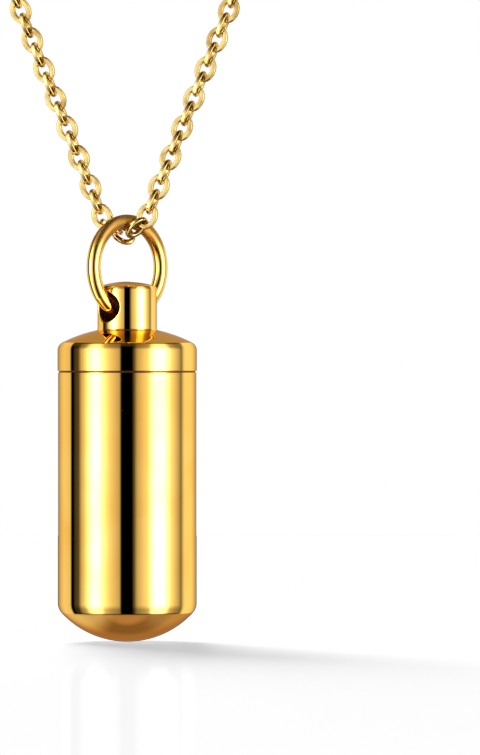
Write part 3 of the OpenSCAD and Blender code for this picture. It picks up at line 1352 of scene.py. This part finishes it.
@dataclass(frozen=True)
class Studio:
    """The photographer's set: soft boxes and flags round the piece, a pale floor, a lamp and the camera.

    The soft boxes and what is overhead go by the mirror that shows them: by twice its turn to the right,
    in degrees, and by the sine of its tilt upwards. The ground's tones and the zenith go by the light's
    own direction.
    """

    dim_behind: Fade = Fade(128.0, 172.0, 0.7)
    side_walls: Span = (92.0, 112.0)
    upper_glow: Fade = Fade(0.3, 0.7, 0.05)
    upward_fades: tuple[Fade, ...] = (Fade(0.0, 0.45, 0.68), Fade(0.6, 0.78, 0.28))
    downward_fades: tuple[Fade, ...] = (Fade(0.0, 0.4, 0.55), Fade(0.58, 0.66, 0.4))
    overhead_from: Span = (0.82, 0.88)
    overhead: tuple = (0.48, 0.41, 0.37)
    overhead_dim: Fade = Fade(0.965, 0.992, 0.5)
    behind_floor: Span = (0.993, 0.998)
    ground_from: Span = (0.67, 0.71)
    ground_warm: tuple = colour(1.0, 0.65, 0.5)
    ground_pale: tuple = colour(1.0, 0.95, 1.0)
    ground_level: float = 0.24
    ground_foot: Fade = Fade(0.93, 0.99, 0.24)
    ground_far: Fade = Fade(-0.84, -0.64, 0.14)
    ground_sides: Span = (0.15, 0.42)
    ground_right: float = 0.35
    ground_pale_level: float = 0.42
    zenith: Fade = Fade(0.65, 0.85, 0.5)
    lamp_from: tuple = (-0.2, 0.884, 0.423)
    lamp_power: float = 4.8
    lamp_angle: float = 25.0
    floor_half: float = 500.0
    floor_steps: int = 96
    floor_tone: float = 0.8
    floor_glow: float = 0.5
    floor_shine: float = 0.17
    floor_polish: float = 0.06
    lens_distance: float = 900.0
    lens_focal: float = 424.2
    sensor: float = 36.0
    eye_height: float = 30.0
    aim_height: float = 26.7
    aim_right: float = 11.41
    near_clip: float = 10.0
    peak: float = 7.5
    # The soft boxes and flags from left to right, as pairs of a turn and the light's level there
    panel_levels: tuple[Point, ...] = (
        (-126, 0.97), (-110, 0.85), (-106, 0.0), (-101, 0.0), (-96, 0.06), (-88, 0.1), (-80.5, 0.77),
        (-77, 0.89), (-71, 1.6), (-65, 4.1), (-59, 7.0), (-48, 7.0), (-43, 4.15), (-37.5, 1.8),
        (-27, 1.04), (-12, 0.58), (-9.6, 0.0), (9, 0.0), (12.7, 0.13), (17.6, 0.6), (32.7, 1.14),
        (38, 1.7), (43, 4.8), (48.5, 7.0), (65, 6.5), (71, 3.3), (77, 1.5), (84, 1.04), (98.5, 0.45),
        (102.5, 0.2), (108, 0.8), (114, 1.12),
    )

    def panels(self, graph: Graph, turn: Value, tilt: Value) -> Value:
        """Works out the light of the upright soft boxes and flags, which fades upwards and downwards.

        Args:
            graph: the world's nodes.
            turn: twice the mirror's turn to the right, in degrees.
            tilt: the sine of its tilt upwards.

        Returns:
            The light's level.
        """
        stops = [((degrees + 180) / 360, level / self.peak) for degrees, level in self.panel_levels]
        light = graph.node("ShaderNodeValToRGB", {"stops": stops}, {0: turn / 360 + 0.5}) * self.peak
        light = light * (1 - self.dim_behind.of(abs(turn)))
        lost = 0.0
        for way, fades in ((1, self.upward_fades), (-1, self.downward_fades)):
            for fade in fades:
                lost = fade.of(tilt * way) + lost
        kept = abs(turn).step(*self.side_walls)
        return light * (1 - lost * (1 - kept)) + self.upper_glow.of(tilt)

    def ground(self, graph: Graph, x: Value, z: Value) -> Value:
        """Works out the light that the table throws back from below: warm, and paler at the sides.

        Args:
            graph: the world's nodes.
            x: the part to the right of the light's direction.
            z: the part upwards of it.

        Returns:
            The light's colour, times its level.
        """
        level = self.ground_foot.of(-z) + self.ground_level + self.ground_far.of(z)
        left, right = (side.step(*self.ground_sides) for side in (-x, x))
        pale = left + right * self.ground_right
        tone = graph.mix(self.ground_warm, self.ground_pale, pale)
        return graph.scaled(tone, level + pale * self.ground_pale_level)

    def light_world(self) -> None:
        """Surrounds the piece with lights that its gold mirrors; the lens and the floor see plain white."""
        world = bpy.data.worlds.new("studio")
        bpy.context.scene.world = world
        world.use_nodes = True
        graph = Graph(world.node_tree)
        where = graph.node("ShaderNodeTexCoord", output="Generated")
        x, y, z = (graph.part(where, axis) for axis in "XYZ")
        ahead = 1.0 - y
        turn = (x / ahead).math("ARCTANGENT") * (360 / math.pi)
        tilt = z / (ahead * 2.0).math("SQRT")
        overhead = graph.scaled(self.overhead, 1 - self.overhead_dim.of(tilt))
        overhead = graph.mix(overhead, WHITE, tilt.step(*self.behind_floor))
        seen = graph.mix(self.panels(graph, turn, tilt), overhead, tilt.step(*self.overhead_from))
        seen = graph.mix(seen, self.ground(graph, x, z), (-tilt).step(*self.ground_from))
        lit = graph.node("ShaderNodeBackground", None, {"Color": seen})
        is_mirrored = graph.node("ShaderNodeLightPath", output="Is Glossy Ray")
        is_lens = graph.node("ShaderNodeLightPath", output="Is Camera Ray")
        strength = is_lens + (1 - is_lens) * self.zenith.of(z)
        plain = graph.node("ShaderNodeBackground", None, {"Color": WHITE, "Strength": strength})
        graph.close(graph.node("ShaderNodeMixShader", None, {0: is_mirrored, 1: plain, 2: lit}),
                    "ShaderNodeOutputWorld")

    def lay_floor(self, tip: Vector) -> None:
        """Lays a pale floor under the tip, which shows the shadow on the white ground.

        Args:
            tip: the pendant's lowest point, in metres.
        """
        clear_selection()
        bpy.ops.mesh.primitive_circle_add(
            vertices=self.floor_steps, radius=self.floor_half * MM, fill_type="NGON", location=tip)
        floor = bpy.context.object
        floor.name = "studio_floor"
        bpy.ops.object.transform_apply(location=True)
        made = bpy.data.materials.new("pale_floor")
        made.use_nodes = True
        graph = Graph(made.node_tree)
        matt = graph.node("ShaderNodeBsdfDiffuse", None, {"Color": grey(self.floor_tone)})
        glow = graph.node("ShaderNodeEmission", None, {"Strength": self.floor_glow})
        shine = graph.node("ShaderNodeBsdfGlossy", None, {
            "Color": grey(self.floor_shine), "Roughness": self.floor_polish})
        lit = graph.node("ShaderNodeAddShader", None, {0: matt, 1: glow})
        graph.close(graph.node("ShaderNodeAddShader", None, {0: lit, 1: shine}))
        floor.data.materials.append(made)
        floor.is_shadow_catcher = True
        floor.visible_glossy = False

    def hang_lamp(self) -> None:
        """Hangs the soft lamp that casts the shadow, behind and to the left."""
        lamp = bpy.data.objects.new("soft_lamp", bpy.data.lights.new("soft_lamp", "SUN"))
        lamp.data.energy = self.lamp_power
        lamp.data.angle = math.radians(self.lamp_angle)
        lamp.rotation_euler = Vector(self.lamp_from).to_track_quat("Z", "Y").to_euler()
        lamp.visible_glossy = False
        bpy.context.scene.collection.objects.link(lamp)

    def set_camera(self, tip: Vector) -> None:
        """Sets the camera level with the pendant's knob, looking slightly down.

        Args:
            tip: the pendant's lowest point, in metres.
        """
        eye = tip + Vector((self.aim_right, -self.lens_distance, self.eye_height)) * MM
        aim = tip + Vector((self.aim_right, 0, self.aim_height)) * MM
        camera = bpy.data.objects.new("camera", bpy.data.cameras.new("camera"))
        camera.data.sensor_fit = "VERTICAL"
        camera.data.sensor_height = self.sensor
        camera.data.lens = self.lens_focal
        camera.data.clip_start = self.near_clip * MM
        camera.location = eye
        camera.rotation_euler = (aim - eye).to_track_quat("-Z", "Y").to_euler()
        bpy.context.scene.collection.objects.link(camera)
        bpy.context.scene.camera = camera

    def build(self, tip: Vector) -> None:
        """Sets up the whole studio.

        Args:
            tip: the pendant's lowest point, in metres.
        """
        bpy.context.scene.view_settings.view_transform = "Standard"
        self.light_world()
        self.lay_floor(tip)
        self.hang_lamp()
        self.set_camera(tip)


def pendant_tip() -> Vector:
    """The lowest point of the capsule, on its axis, from the frame's box."""
    low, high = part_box("capsule")
    return Vector(((low.x + high.x) / 2, (low.y + high.y) / 2, low.z))


def main() -> None:
    """Builds the studio, then the pieces around the frame, and logs each piece's face count."""
    logging.basicConfig(level=logging.INFO, format="%(name)s: %(message)s")
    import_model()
    tip = pendant_tip()
    place = Matrix.Translation(tip)
    Studio().build(tip)
    Capsule().build(place)
    Cap().build(place)
    JumpRing().build(place)
    Chain().build(place)
    Clasp().build()


if __name__ == "__main__":
    main()
